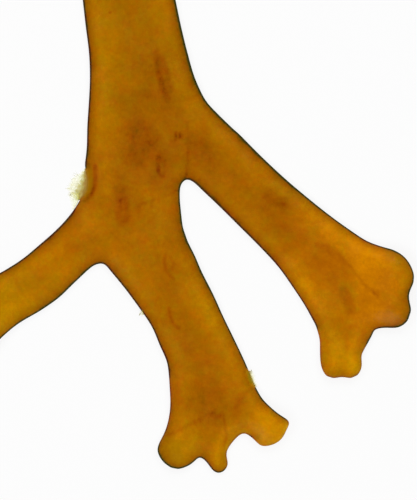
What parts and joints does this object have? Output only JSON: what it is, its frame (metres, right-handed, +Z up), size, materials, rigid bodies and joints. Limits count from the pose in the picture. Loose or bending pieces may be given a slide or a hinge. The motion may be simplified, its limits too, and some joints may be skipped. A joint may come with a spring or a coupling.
{
  "type": "brown seaweed",
  "caption": "Flat translucent seaweed blade that forks repeatedly into rounded, lobed tips, lying flat on its underside, with a small bleached fray on one margin.",
  "frame": {"origin": "on the flat underside of the blade, level with the first fork and near the middle of the axis", "axes": "+Z up out of the blade's upper face, +Y back along the main axis towards its cut end, +X across the blade towards the right branch"},
  "size_m": [0.0301, 0.0327, 0.0011],
  "materials": {
    "blade": "satin",
    "bleached_film": "matte"
  },
  "bodies": {
    "root": {"main_axis": "blade", "inner_axis": "blade", "left_branch": "blade", "middle_branch": "blade", "middle_left_lobe": "blade", "middle_small_lobe": "blade", "middle_right_lobe": "blade", "right_branch": "blade", "right_inner_tip": "blade", "right_outer_tip": "blade", "edge_tuft": "bleached_film"}
  },
  "joints": []
}
